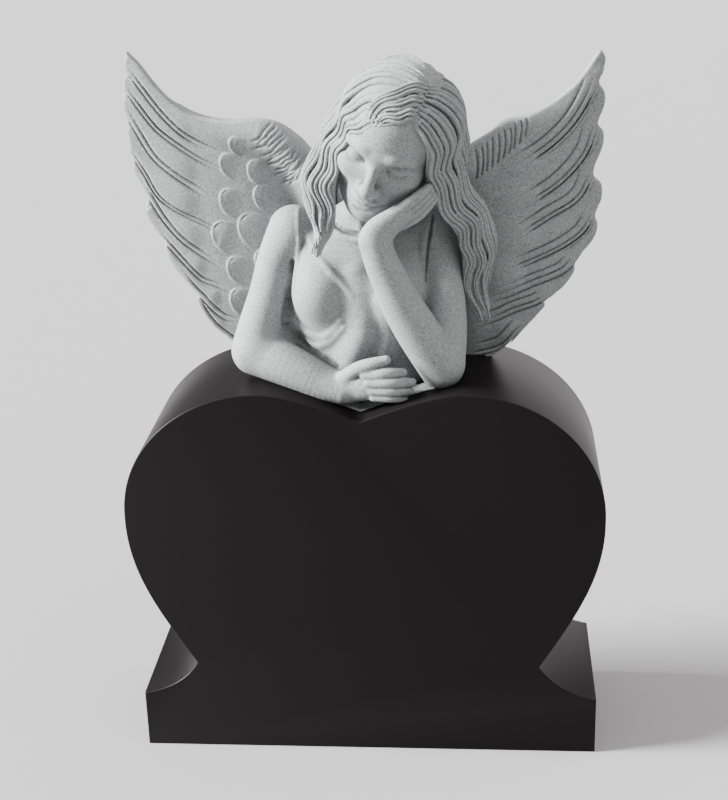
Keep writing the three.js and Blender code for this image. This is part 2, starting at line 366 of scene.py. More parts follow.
def carveTrunk(block):
    rows = np.array([  # height, middle x, middle y, half width, half depth
        (440, -2, 10, 97, 60), (500, -2, 10, 95, 60), (545, -2, 8, 93, 58), (575, 0, 8, 90, 56),
        (605, 0, 12, 88, 56), (635, 0, 16, 91, 55), (662, 2, 20, 93, 51), (684, 4, 24, 86, 45),
        (704, 9, 25, 58, 37), (722, 16, 22, 32, 30), (740, 26, 14, 16, 18),
    ], float)

    def distance(x, y, z):
        flatZ = np.clip(z, rows[0, 0], rows[-1, 0])
        mx, my, wide, deep = (np.interp(flatZ, rows[:, 0], rows[:, i]) for i in range(1, 5))
        ring = np.sqrt(((x - mx) / wide) ** 2 + ((y - my) / deep) ** 2)
        near = (ring - 1) * np.minimum(wide, deep)
        return np.maximum(near, z - rows[-1, 0])

    strike(block, (-100, -54, 440), (105, 80, 740), distance, 0, False)


def carveBody():
    block = carvingBlock((-172, -112, 466), (146, 98, 792), figure["cell"])
    carveTrunk(block)
    for side in (-1, 1):
        addBall(block, (side * 47 - 2, -18, 614), (35, 37, 39), 22)  # breast
    addLimb(block, [(8, 22, 680, 40), (25, 14, 722, 30), (38, 2, 765, 30)], 18)  # neck
    addLimb(block, [(14, -14, 728, 7), (9, -20, 708, 7), (6, -27, 690, 6)], 10)  # cord of the neck
    carveDress(block)
    addBall(block, (-94, 8, 560), (18, 34, 44), 14)  # behind the resting arm
    addLimb(block, [(-86, 24, 682, 33), (-106, 14, 648, 26.5), (-117, -2, 608, 26), (-130, -22, 562, 29),
                    (-132, -30, 545, 30)], 10)  # resting arm
    addLimb(block, [(-134, -30, 540, 30), (-100, -44, 530, 27.5), (-72, -52, 519, 25),
                    (-46, -58, 508, 22), (-22, -64, 502, 19)], 8)
    addLimb(block, [(84, 26, 684, 32), (97, 14, 650, 26.5), (103, -8, 608, 26), (105, -30, 568, 27),
                    (103, -48, 532, 27)], 10)  # raised arm
    addLimb(block, [(100, -52, 526, 27), (74, -62, 574, 27), (54, -68, 612, 25), (42, -72, 641, 22.5),
                    (30, -76, 672, 20.5), (24, -80, 698, 19)], 6)
    carveStraps(block)
    carveHands(block)
    for rest in ("seat", "ledge", "lip"):
        carveSeat(block, figure[rest])
    clearStone(block)
    return pieceFromBlock("angelBody", block)


def carveDress(block):
    layOn(block, [(-4, 640, 5), (0, 606, 11), (5, 575, 13), (-6, 548, 12), (-16, 528, 9)], 22, 6)
    layOn(block, [(34, 610, 6), (38, 575, 9), (30, 545, 8)], 18, 4)
    layOn(block, [(-84, 580, 2), (-70, 567, 3.6), (-50, 562, 4.2), (-34, 571, 3.4), (-24, 586, 2)], 6, 1)
    layOn(block, [(-90, 562, 2), (-74, 553, 3.6), (-56, 550, 4.2), (-36, 559, 3.6), (-20, 577, 2)], 6, 1)
    layOn(block, [(-66, 690, 2), (-56, 668, 2.6), (-40, 651, 3), (-22, 634, 3), (-8, 618, 2)], 5, 1.4)
    neckline = [(-42, 698, 2), (-34, 693, 3), (-24, 688, 3.4), (-12, 684, 3.4),
                (2, 683, 3.4), (16, 685, 2.4)]
    layOn(block, neckline, 3, 0.4)
    aboveIt = [(-40, 705, 2), (-33, 700, 3), (-24, 695, 3.2), (-12, 691, 3.2),
               (2, 690, 3.2), (16, 692, 2)]
    layOn(block, aboveIt, 2, 0, cut=True)


def carveStraps(block):
    left = [(-78, 712, 1.6), (-77, 700, 2.2), (-76, 680, 2.4), (-79, 652, 2.4), (-83, 622, 2)]
    layOn(block, left, 3, 0.6)
    layOn(block, [(84, 708, 2), (82, 694, 2.8), (79, 676, 2.8), (77, 656, 1.8)], 3, 0.6)
    armhole = [(90, 706, 1), (88, 692, 2), (85, 674, 2), (82, 648, 1.2), (81, 628, 0.4)]
    layOn(block, armhole, 2, 0.4, cut=True)
    insideArm = [(-86, 650, 2), (-88, 622, 4.5), (-92, 594, 6.5), (-94, 574, 6), (-86, 560, 5),
                 (-70, 549, 4), (-50, 538, 3.4), (-30, 528, 2)]
    layOn(block, insideArm, 5, 0, cut=True)


def carveHands(block):
    addLimb(block, [(-24, -62, 503, 18), (-4, -70, 508, 19), (16, -75, 513, 19.5)], 6,
            flat=(0.1, -0.98, 0.1, 0.66))  # back of the resting hand
    fingers = (
        [(8, -80, 527, 7.4), (30, -86, 531, 7.2), (44, -84, 531, 6.4), (54, -78, 529, 5.4)],
        [(12, -82, 518, 7.6), (36, -88, 520, 7.3), (52, -85, 519, 6.5), (65, -77, 516, 5.4)],
        [(16, -82, 508, 7.4), (37, -87, 509, 7.0), (51, -85, 508, 6.3), (62, -78, 505, 5.2)],
        [(18, -81, 499, 6.8), (36, -85, 499, 6.2), (46, -84, 498, 5.6), (55, -79, 495, 4.8)],
    )
    for finger in fingers:
        addLimb(block, finger, 1.6)
    thumb = [(-20, -68, 517, 11), (-2, -77, 534, 8.6), (16, -82, 542, 7.6), (34, -82, 547, 5.8)]
    addLimb(block, thumb, 4)
    addLimb(block, [(24, -80, 698, 19), (30, -82, 709, 20), (44, -81, 720, 17), (58, -77, 730, 14)], 6,
            flat=(0.35, -0.85, -0.4, 0.72))  # back of the raised hand
    for i in range(4):  # its fingers, side by side up the cheek
        finger = [(34 + i * 3, -82 + i * 3, 719 - i * 3, 8), (48 + i * 4, -84 + i * 5, 731 - i * 5, 7),
                  (63 + i * 4, -82 + i * 6, 741 - i * 6, 6.6), (77 + i * 3, -74 + i * 6, 750 - i * 6, 6.0),
                  (88 + i * 2, -64 + i * 6, 757 - i * 6, 5.0)]
        addLimb(block, finger, 1.6)


def carveSeat(block, s):
    low = (s["left"], s["front"], 466)
    high = (s["right"], s["back"], 520)

    def distance(x, y, z):
        inside = np.clip(np.minimum(x - s["left"], s["right"] - x) / 30, 0, 1)
        top = s["rise"] + 3 + s["slope"] * np.clip(y - s["front"], 0, 24)
        top = stoneTop(x.ravel())[:, None, None] - 3 + inside * top  # dips into the stone at both ends
        across = np.maximum(s["left"] - x, x - s["right"])
        along = np.maximum(s["front"] - y, y - s["back"])
        return np.maximum(np.maximum(across, along), z - top) + 0 * (x + y + z)

    strike(block, low, high, distance, 3, False)


# Sweeps: Geometry Nodes carry a section along every path of a mesh of edges
roundSection = {"Width": 1, "Thickness": 1, "Grooves": 2, "Groove Depth": 0, "Squareness": 1}


def sweepTree(name, sizes):
    tree = bpy.data.node_groups.new(name, "GeometryNodeTree")
    tree.interface.new_socket("Paths", in_out="INPUT", socket_type="NodeSocketGeometry")
    sockets = {}
    for label, size in sizes.items():
        socket = tree.interface.new_socket(label, in_out="INPUT", socket_type="NodeSocketFloat")
        socket.default_value = size
        sockets[label] = socket.identifier
    finish = tree.interface.new_socket("Finish", in_out="INPUT", socket_type="NodeSocketMaterial")
    sockets["Finish"] = finish.identifier
    tree.interface.new_socket("Carving", in_out="OUTPUT", socket_type="NodeSocketGeometry")
    given = tree.nodes.new("NodeGroupInput").outputs

    def value(operation, a, b=0):
        return addNode(tree, "ShaderNodeMath", {0: a, 1: b}, operation=operation).outputs[0]

    def named(label, kind):
        node = addNode(tree, "GeometryNodeInputNamedAttribute", {"Name": label}, data_type=kind)
        return node.outputs["Attribute"]

    ring = addNode(tree, "GeometryNodeCurvePrimitiveCircle", {"Resolution": 28, "Radius": 1})
    spot = tree.nodes.new("GeometryNodeInputPosition")
    parts = addNode(tree, "ShaderNodeSeparateXYZ", {0: spot.outputs[0]}).outputs
    turns = value("MULTIPLY", given["Grooves"], math.pi)
    ripple = value("COSINE", value("MULTIPLY", parts["X"], turns))
    groove = value("MULTIPLY", ripple, given["Groove Depth"])
    thick = value("ADD", given["Thickness"], groove)
    edge = value("POWER", value("ABSOLUTE", parts["Y"]), given["Squareness"])
    depth = value("MULTIPLY", value("MULTIPLY", value("SIGN", parts["Y"]), edge), thick)
    breadth = value("MULTIPLY", parts["X"], -1)
    section = addNode(tree, "ShaderNodeCombineXYZ", {"X": depth, "Y": breadth}).outputs[0]
    shaped = addNode(tree, "GeometryNodeSetPosition", {"Geometry": ring.outputs[0], "Position": section})
    paths = addNode(tree, "GeometryNodeMeshToCurve", {"Mesh": given["Paths"]})
    turned = addNode(tree, "GeometryNodeSetCurveNormal", {
        "Curve": paths.outputs[0], "Normal": named("facing", "FLOAT_VECTOR")}, mode="FREE")
    girth = value("MULTIPLY", named("girth", "FLOAT"), given["Width"])
    sized = addNode(tree, "GeometryNodeSetCurveRadius", {"Curve": turned.outputs[0], "Radius": girth})
    swept = addNode(tree, "GeometryNodeCurveToMesh", {
        "Curve": sized.outputs[0], "Profile Curve": shaped.outputs[0], "Fill Caps": True})
    if "Scale" in swept.inputs:
        radius = tree.nodes.new("GeometryNodeInputRadius")
        tree.links.new(radius.outputs[0], swept.inputs["Scale"])
    real = addNode(tree, "GeometryNodeRealizeInstances", {"Geometry": swept.outputs[0]})
    dressed = addNode(tree, "GeometryNodeSetMaterial", {
        "Geometry": real.outputs[0], "Material": given["Finish"]})
    addNode(tree, "NodeGroupOutput", {"Carving": dressed.outputs[0]})
    return tree, sockets


def sweep(name, paths, sizes, material):  # paths: lists of rows x, y, z, half width, facing x, y, z
    points, edges, girths, facings = [], [], [], []
    for path in paths:
        first = len(points)
        for row in path:
            points.append(tuple(v * mm for v in row[:3]))
            girths.append(row[3] * mm)
            facings.extend(row[4:7])
        edges.extend((i, i + 1) for i in range(first, len(points) - 1))
    piece = newPiece(name, points, edges, [])
    piece.data.attributes.new("girth", "FLOAT", "POINT").data.foreach_set("value", girths)
    piece.data.attributes.new("facing", "FLOAT_VECTOR", "POINT").data.foreach_set("vector", facings)
    tree, sockets = sweepTree(name, sizes)
    nodes = piece.modifiers.new("sweep", "NODES")
    nodes.node_group = tree
    for label, size in sizes.items():
        nodes[sockets[label]] = float(size)
    nodes[sockets["Finish"]] = material
    return settle(piece)


def fuse(block, piece, soft, cut=False):  # joins a swept mesh into the block, or cuts it, and removes it
    mesh = piece.data
    mesh.calc_loop_triangles()
    points = readOut(mesh.vertices, "co", 3, np.float32)
    corners = readOut(mesh.loop_triangles, "vertices", 3, np.int32)
    cell = block["cell"]
    band = 4.0  # cells on each side of the surface
    grid = openvdb.FloatGrid.createLevelSetFromPolygons(
        points.astype(float) / (mm * cell), triangles=corners.astype(np.uint32),
        transform=openvdb.createLinearTransform(voxelSize=1.0), halfWidth=band)
    near = np.full(block["field"].shape, band, np.float32)
    grid.copyToArray(near, ijk=tuple(int(i) for i in block["start"]))
    block["field"] = joined(block["field"], near * cell, soft, cut)
    bpy.data.objects.remove(piece)


# Hair: locks follow a sheet between a line near the face and an outer line
hair = {
    "seed": 7,
    "pieces": {
        "angelHairLeft": {"falls": ("left", "fringe"), "cell": 0.8,
                          "low": (-92, -116, 640), "high": (112, 60, 922)},
        "angelHairRight": {"falls": ("right",), "cell": 0.8,
                           "low": (54, -116, 548), "high": (202, 60, 908)},
        "angelHairBack": {"falls": ("back",), "cell": 1.2,
                          "low": (-92, -104, 560), "high": (172, 112, 922)},
    },
    "girth": (0.15, 1.6, 4.6),  # of a lock, by the breadth of its group, and its limits
    "sink": 0.72,  # how far the mass lies under the locks, by their girth
    "layDown": 1.5,  # how far a lifted fall lies down again at its end, by its lift
    "start": 14,  # length over which a lock rises out of the crown
    "cap": {"centre": (5, 12, 27), "radii": (79, 82, 67), "inner": 0.94},  # in the upright head
    "window": {"centre": (14, -98, -20), "radii": (94, 84, 102), "inner": 1},
    "section": {**roundSection, "Groove Depth": 0.1},
    "left": {
        "near": [(73, -100, 841), (33, -102, 835), (-2, -80, 822), (-15, -63, 801), (-21, -61, 776),
                 (-25, -58, 754), (-25, -57, 734), (-25, -58, 716), (-28, -58, 699), (-38, -57, 684),
                 (-47, -54, 664)],
        "outer": [(97, -43, 885), (56, -2, 911), (-8, 2, 870), (-36, 4, 830), (-53, 0, 790),
                  (-66, -6, 760), (-66, -16, 740), (-60, -32, 722), (-53, -45, 702), (-57, -50, 684),
                  (-54, -51, 660)],
        "groups": 5, "wave": 3.4, "cycle": 54, "ending": (0.78, 1.02),
        "bulge": 0.3, "lift": 0, "hold": 0.6,
    },
    "right": {
        "near": [(69, -100, 840), (85, -98, 820), (92, -82, 789), (89, -60, 761), (96, -46, 735),
                 (107, -36, 709), (121, -26, 687), (127, -17, 659), (128, -10, 624), (134, -6, 590),
                 (152, -6, 566)],
        "outer": [(92, -43, 886), (121, -6, 864), (133, 6, 828), (135, 10, 797), (129, 12, 766),
                  (136, 14, 735), (158, 18, 713), (169, 24, 668), (161, 24, 624), (155, 18, 606),
                  (168, 10, 570)],
        "groups": 5, "wave": 3, "cycle": 60, "ending": (1, 0.98), "bulge": 0.3, "lift": 0, "hold": 0.6,
    },
    "fringe": {
        "near": [(72, -99, 843), (64, -102, 841), (55, -103, 841), (44, -103, 840), (34, -102, 836),
                 (25, -99, 829)],
        "outer": [(92, -63, 877), (73, -73, 880), (52, -81, 876), (34, -87, 866), (20, -92, 851),
                  (12, -91, 832)],
        "groups": 3, "wave": 2.2, "cycle": 40, "ending": (1, 1), "bulge": 0, "lift": 2.6, "hold": 0.6,
    },
    "back": {
        "near": [(90, -40, 885), (50, 20, 900), (0, 40, 868), (-30, 46, 820), (-46, 48, 770),
                 (-52, 52, 730), (-54, 60, 690), (-52, 66, 650), (-48, 69, 610)],
        "outer": [(98, -38, 881), (108, 20, 866), (116, 44, 826), (116, 52, 780), (112, 56, 740),
                  (106, 60, 700), (98, 65, 660), (92, 69, 630), (86, 71, 600)],
        "groups": 6, "wave": 3, "cycle": 66, "ending": (0.97, 0.97), "bulge": 0.08, "lift": 0, "hold": 0,
    },
}


def ramp(value, low, high):
    t = np.clip((value - low) / (high - low), 0, 1)
    return t * t * (3 - 2 * t)


def unit(rows):
    return rows / np.linalg.norm(rows, axis=-1, keepdims=True)


def outward(near, outer):  # way out of the sheet, away from the head
    line = (near + outer) / 2
    out = unit(np.cross(outer - near, np.gradient(line, axis=0)))
    away = line - np.array(headPose["at"], float)
    away[:, 2] = np.maximum(away[:, 2], 0)
    return out * np.where((out * away).sum(1) < 0, -1, 1)[:, None]


def clearOfHead(grid, hold):  # pushes a sheet out to the cap, and by the share held below the head
    place = np.array(headPlace())
    back = np.linalg.inv(place)
    centre, radii = (np.array(hair["cap"][part]) for part in ("centre", "radii"))
    local = (grid * mm) @ back[:3, :3].T + back[:3, 3]
    ratio = (local / mm - centre) / radii
    level = ratio * np.where(ratio[..., 2:] > 0, (1, 1, 1), (1, 1, 0))
    clear = 1.02 * (1 - (1 - hold) * ramp(-ratio[..., 2:], 0.3, 1.3))
    grow = clear / np.linalg.norm(level, axis=-1, keepdims=True) - 1
    moved = (centre + radii * (ratio + level * np.maximum(grow, 0))) * mm
    return (moved @ place[:3, :3].T + place[:3, 3]) / mm


def hairSheet(fall):  # points over the fall, the ways across and out of it, and its breadth
    near, outer = smoothPath(fall["near"], 6), smoothPath(fall["outer"], 6)
    share = np.linspace(0, 1, 21)[:, None, None]
    out = outward(near, outer)
    bulge = fall["bulge"] * ramp(np.linspace(0, 1, len(near)), 0.18, 0.5)
    bulge = bulge * np.linalg.norm(outer - near, axis=1)
    grid = near * (1 - share) + outer * share + np.sin(np.pi * share) * bulge[:, None] * out
    for rounds in (6, 3):
        grid = clearOfHead(grid, fall["hold"])
        for i in range(rounds):
            grid[:, 1:-1] = (grid[:, :-2] + 2 * grid[:, 1:-1] + grid[:, 2:]) / 4
    across = unit(np.gradient(grid, axis=0))
    facing = unit(np.cross(across, np.gradient(grid, axis=1)))
    facing = facing * np.where((facing * out).sum(-1, keepdims=True) < 0, -1, 1)
    breadth = np.linalg.norm(np.diff(grid, axis=0), axis=-1).sum(0)
    return grid, across, facing, breadth


def alongSheet(grid):  # length along the middle of the sheet
    steps = np.linalg.norm(np.diff(grid[10], axis=0), axis=1)
    return np.concatenate([[0], np.cumsum(steps)])


def lockGirth(fall, breadth):
    share, least, most = hair["girth"]
    return np.clip(share * breadth / fall["groups"], least, most)


def underPaths(fall):  # the mass the locks lie on
    grid, across, facing, breadth = hairSheet(fall)
    sink = np.maximum(hair["sink"] * lockGirth(fall, breadth), 2.3) - fall["lift"]
    sink = sink + 2 * (1 - ramp(alongSheet(grid), 0, 25))
    sink = sink + hair["layDown"] * fall["lift"] * ramp(np.linspace(0, 1, len(sink)), 0.7, 1)
    paths = []
    for j in range(1, 20, 2):
        edge = 0.4 + 0.6 * math.sin(math.pi * j / 20)
        path = []
        for k in range(1, grid.shape[1] - 2):
            girth = max(1.6, min(9, 0.15 * breadth[k]) * edge)
            path.append((*(grid[j, k] - facing[j, k] * (girth + sink[k])), girth, *facing[j, k]))
        paths.append(path)
    return paths


def lockPaths(fall, chance):
    grid, across, facing, breadth = hairSheet(fall)
    length = alongSheet(grid)
    wide = 1 / fall["groups"]
    girths = lockGirth(fall, breadth)
    paths = []
    for i in range(3 * fall["groups"]):  # locks lie in groups of three
        middle = (i // 3 + 0.5) * wide
        if i % 3 == 0:
            phase = chance.uniform(-0.5, 0.5)
            lift = fall["lift"] + chance.uniform(-1.2, 1.6)
            ending = fall["ending"][0] * (1 - middle) + fall["ending"][1] * middle
            ending = ending + chance.uniform(-0.04, 0.02)
        own = middle + (i % 3 - 1) * 0.31 * wide
        broad = chance.uniform(0.9, 1.25)
        raised = lift + (0.9 if i % 3 == 1 else chance.uniform(-0.6, 0.4))
        path = []
        for k in range(grid.shape[1]):
            t = k / (grid.shape[1] - 1) / ending
            if t > 1:
                break
            share = 20 * (own + (middle - own) * 0.5 * ramp(t, 0.65, 1))
            j = min(int(share), 19)
            spot, side, out = (rows[j, k] + (rows[j + 1, k] - rows[j, k]) * (share - j)
                               for rows in (grid, across, facing))
            swing = fall["wave"] * ramp(t, 0.03, 0.3)
            turn = 2 * math.pi * length[k] / fall["cycle"] + phase
            begun = ramp(length[k], 0, hair["start"])
            height = raised - hair["layDown"] * fall["lift"] * ramp(t, 0.7, 1) - 3 * (1 - begun)
            spot = spot + side * swing * math.sin(turn) + out * (height + 0.35 * swing * math.cos(turn))
            girth = girths[k] * broad * (1 - 0.6 * ramp(t, 0.75, 1)) * (0.5 + 0.5 * begun)
            path.append((*spot, girth, *out))
        paths.append(path)
    return paths


def groovePaths(locks):  # fine cuts between the locks of a group
    paths = []
    for i, (one, other) in enumerate(zip(locks[:-1], locks[1:])):
        if i % 3 < 2:
            path = []
            for a, b in list(zip(np.array(one), np.array(other)))[2:-3]:
                girth = min(a[3], b[3])
                facing = unit(a[4:] + b[4:])
                path.append((*((a[:3] + b[:3]) / 2 + facing * 0.75 * girth), 0.46 * girth, *facing))
            paths.append(path)
    return paths


def carveHair(name):
    part = hair["pieces"][name]
    chance = random.Random(hair["seed"])
    block = carvingBlock(part["low"], part["high"], part["cell"])
    if name == "angelHairBack":
        place = headPlace()
        turn = place.to_3x3().normalized()
        for shape, cut, soft in (("cap", False, 0), ("window", True, 4)):
            centre = np.array(place @ (Vector(hair[shape]["centre"]) * mm)) / mm
            radii = np.array(hair[shape]["radii"]) * hair[shape]["inner"] * headPose["scale"]
            addBall(block, centre, radii, soft, turn=turn, cut=cut)
        addLimb(block, [(46, 14, 800, 56), (38, 24, 740, 56), (30, 38, 690, 46), (22, 50, 630, 34)], 10,
                flat=(0, 1, 0, 0.5))
    for fall in part["falls"]:
        fuse(block, sweep(fall + "Mass", underPaths(hair[fall]), hair["section"], greyStone), 3)
    for fall in part["falls"]:
        locks = lockPaths(hair[fall], chance)
        fuse(block, sweep(fall + "Locks", locks, hair["section"], greyStone), 0.4)
        grooves = sweep(fall + "Grooves", groovePaths(locks), hair["section"], greyStone)
        fuse(block, grooves, 0.4, cut=True)
    clearStone(block)
    return pieceFromBlock(name, block)


# Wings: a web within the outline, feathers between edges, scales, tufts and chiselled lines
wing = {
    "cell": 1.2,
    "web": {"middle": 52, "bend": 160, "curve": 0.001, "turn": 0.0009, "half": 7, "root": 2, "round": 6},
    "vane": {**roundSection, "Thickness": 0.2, "Squareness": 0.9},
    "scale": {**roundSection, "Thickness": 0.1, "Squareness": 0.6},
    "rim": {**roundSection, "Thickness": 0.9},
    "relief": 2.6,  # height of the left wing's scales
    "feather": {"width": 1.3, "depth": 2.8, "behind": 0.5},  # chiselled lines
    "tuft": {"width": 1.6, "depth": 1.6},
    "comb": {"width": 1.6, "depth": 2.4},
    "seed": {"feather": 5, "tuft": 3, "comb": 4},
    "leftWing": {
        "side": -1,
        "outline": [(20, 500), (20, 740), (61, 775), (77, 793), (102, 812), (129, 819), (168, 818),
                    (204, 824), (229, 837), (253, 860), (273, 886), (285, 898), (291, 903), (295, 894),
                    (296, 876), (301, 849), (301, 825), (297, 783), (296, 756), (289, 738), (280, 719),
                    (283, 705), (280, 688), (272, 672), (259, 661), (261, 650), (245, 618), (221, 591),
                    (223, 581), (207, 550), (181, 527), (150, 500)],
        "arm": [(48, 62, 690, 22), (70, 59, 752, 23), (92, 54, 780, 21), (118, 52, 796, 18),
                (150, 54, 802, 14), (190, 59, 809, 11), (226, 63, 828, 8)],
        "edges": [  # lower edges of the feathers from root to tip, after the wing's leading edge
            [(170, 819), (202, 826), (227, 838), (251, 862), (271, 888), (290, 904)],
            [(173, 771), (205, 786), (230, 802), (254, 826), (274, 852), (295, 882)],
            [(175, 751), (206, 766), (234, 784), (260, 804), (280, 829), (299, 857)],
            [(177, 708), (209, 727), (237, 745), (263, 766), (280, 791), (299, 827)],
            [(180, 671), (208, 685), (237, 699), (263, 718), (279, 745), (300, 781)],
            [(183, 627), (208, 641), (234, 660), (252, 679), (267, 700), (285, 734)],
            [(171, 592), (194, 602), (213, 610), (232, 629), (248, 647), (269, 672)],
            [(167, 551), (186, 558), (200, 569), (212, 583), (225, 596), (241, 618)],
            [(156, 512), (174, 525), (192, 539), (205, 552), (215, 567), (222, 584)],
        ],
        "lines": (0, 6),
        "scales": [(178, 766, 16), (181, 719, 19), (194, 675, 21), (177, 630, 19), (176, 587, 19),
                   (164, 790, 13), (143, 757, 17), (137, 724, 18), (159, 684, 24), (140, 640, 20)],
    },
    "rightWing": {
        "side": 1,
        "outline": [(20, 500), (20, 730), (108, 765), (136, 783), (160, 798), (180, 814), (200, 817),
                    (228, 830), (264, 857), (282, 881), (290, 892), (296, 894), (302, 883), (299, 868),
                    (294, 856), (302, 842), (302, 825), (294, 806), (302, 793), (301, 773), (290, 743),
                    (301, 728), (302, 708), (294, 690), (298, 674), (292, 655), (271, 630), (269, 615),
                    (254, 594), (232, 579), (231, 569), (200, 537), (181, 516), (150, 496)],
        "arm": [(48, 54, 690, 24), (76, 48, 736, 25), (108, 48, 752, 22), (138, 50, 765, 19),
                (166, 55, 787, 16), (194, 58, 800, 13), (226, 63, 816, 8)],
        "edges": [
            [(173, 808), (197, 819), (228, 831), (258, 851), (282, 882), (296, 895)],
            [(179, 743), (210, 761), (235, 778), (259, 800), (277, 825), (293, 857)],
            [(179, 689), (211, 706), (242, 726), (266, 748), (284, 774), (293, 807)],
            [(180, 654), (211, 672), (240, 690), (265, 704), (280, 721), (289, 745)],
            [(174, 615), (205, 626), (237, 640), (266, 656), (283, 671), (293, 692)],
            [(161, 580), (189, 589), (218, 601), (240, 609), (258, 618), (270, 632)],
            [(148, 545), (174, 555), (193, 564), (210, 570), (223, 575), (232, 581)],
            [(135, 504), (154, 508), (170, 513), (183, 521), (195, 535), (205, 545)],
        ],
        "lines": (0, 7, 17),
        "scales": [(196, 762, 20), (196, 713, 24), (190, 664, 24), (180, 612, 22)],
    },
}


def softMax(a, b, soft):
    return -softMin(-a, -b, soft)


def webMiddle(x):  # bent back towards the tip and towards the spine
    far = np.abs(x) - wing["web"]["bend"]
    return (wing["web"]["middle"] + wing["web"]["curve"] * far ** 2
            + wing["web"]["turn"] * np.clip(-far, 0, 85) ** 2)


def webFront(x):  # thicker towards the root
    return webMiddle(x) - wing["web"]["half"] - wing["web"]["root"] * (1 - ramp(np.abs(x), 90, 190))


def webBack(x):  # fades into the back of the figure
    return webMiddle(x) + wing["web"]["half"] - 18 * (1 - ramp(np.abs(x), 40, 105))


def squareTo(x, z, a, b):  # squared distance from the line between a and b
    ab = b - a
    t = np.clip(((x - a[0]) * ab[0] + (z - a[1]) * ab[1]) / max(float(ab @ ab), 1e-6), 0, 1)
    return (x - a[0] - t * ab[0]) ** 2 + (z - a[1] - t * ab[1]) ** 2


def outlineDistance(block, outline, side):  # seen from the front, below nought inside
    x, z = block["axes"][0][:, None], block["axes"][2][None, :]
    edge = smoothPath([(side * a, b) for a, b in outline], 4)
    far = np.full((x.shape[0], z.shape[1]), 1e9)
    inside = np.zeros(far.shape, bool)
    for a, b in zip(edge, np.roll(edge, -1, 0)):
        ab = b - a
        far = np.minimum(far, squareTo(x, z, a, b))
        inside ^= ((a[1] > z) != (b[1] > z)) & (x < ab[0] * (z - a[1]) / (ab[1] + 1e-9) + a[0])
    return (np.where(inside, -1, 1) * np.sqrt(far)).astype(np.float32)


def addWeb(block, flat):
    x, y = block["axes"][0][:, None], block["axes"][1][None, :]
    thick = np.maximum(webFront(x) - y, y - webBack(x))
    near = softMax(flat[:, None, :], thick[:, :, None], wing["web"]["round"])
    block["field"] = softMin(block["field"], near.astype(np.float32), 4)


def vanePaths(shape):
    edges = [smoothPath(rows, 5) for rows in shape["edges"]]
    side = shape["side"]
    paths = []
    for upper, lower in zip(edges[:-1], edges[1:]):
        middle = (upper + lower) / 2
        along = unit(np.gradient(middle, axis=0))
        gap = upper - lower
        half = np.abs(along[:, 0] * gap[:, 1] - along[:, 1] * gap[:, 0]) / 2
        sink = 1 + 6 * (1 - ramp(np.linspace(0, 1, len(middle)), 0, 0.4))  # roots sink into the web
        depth = webFront(middle[:, 0]) + sink
        paths.append([(side * x, y, z, 1.06 * reach + 0.5, side * 0.1, -0.99, 0.05)
                      for (x, z), y, reach in zip(middle, depth, half)])
    return paths


def frontMap(block):  # smoothed depth of the first surface met from the front
    inside = block["field"] < 0
    depth = np.where(inside.any(1), block["axes"][1][inside.argmax(1)], 66.0)
    for i in range(12):
        depth = sum(np.roll(depth, step, axis) for step, axis in ((1, 0), (-1, 0), (1, 1), (-1, 1))) / 4
    return depth


def scalePaths(block, shape, rims):
    side = shape["side"]
    depth = frontMap(block)
    slopeX, slopeZ = np.gradient(depth, block["cell"])
    paths = []
    for x, z, half in shape["scales"]:
        path = []
        for k in range(19):
            t = k / 18
            if rims:  # a raised edge round the free end
                a = math.radians(-78 + 166 * t)
                back = 1.1 * half * (1 - math.cos(a))
                spot = (x - back, z - 0.35 * back + half * math.sin(a))
                sink = 0.6 - wing["relief"] * (0.3 + 0.7 * math.cos(a))
                girth = 0.4 + 1.0 * math.sin(math.pi * t)
            else:
                spot = (x - 2.2 * half * (1 - t), z - 0.7 * half * (1 - t))
                sink = 5 - (5 + wing["relief"]) * t ** 0.8
                girth = half * math.sqrt(max(0.03, 1 - max(0, 2 * t - 1) ** 2))
            i = int(round(side * spot[0] / block["cell"])) - block["start"][0]
            j = int(round(spot[1] / block["cell"])) - block["start"][2]
            facing = (slopeX[i, j], -1, slopeZ[i, j])
            path.append((side * spot[0], depth[i, j] + sink, spot[1], girth, *facing))
        paths.append(path)
    return paths


def chisel(block, lines, width, depth, behind=0):  # lines of x, z cut into the front and the back
    x, z = block["axes"][0][:, None], block["axes"][2][None, :]
    cut = np.zeros((x.shape[0], z.shape[1]), np.float32)
    for line in lines:
        path = smoothPath(line, 3)
        for k, (a, b) in enumerate(zip(path[:-1], path[1:])):
            far = squareTo(x, z, a, b)
            share = (k + 0.5) / (len(path) - 1)
            strength = depth * min(1, 5 * share, 5 * (1 - share))
            cut = np.maximum(cut, strength * np.exp(-far / width ** 2))
    above = (webMiddle(block["axes"][0])[:, None] - block["axes"][1][None, :]) / 4
    share = np.clip(above, 0, 1) + behind * np.clip(-above, 0, 1)
    block["field"] = block["field"] + (cut[:, None, :] * share[:, :, None]).astype(np.float32)


def beside(line, offset):  # the same line moved sideways
    step = unit(np.gradient(line, axis=0))
    return line + offset * np.stack([-step[:, 1], step[:, 0]], 1)


def wingLines(shape):
    chance = random.Random(wing["seed"]["feather"])
    lines = []
    for rows in shape["edges"][1:]:
        edge = smoothPath(rows, 2)
        for offset in shape["lines"]:
            line = beside(edge, offset + chance.uniform(-1, 1))[chance.randrange(0, 2):]
            lines.append([(shape["side"] * x, z) for x, z in line])
    return lines


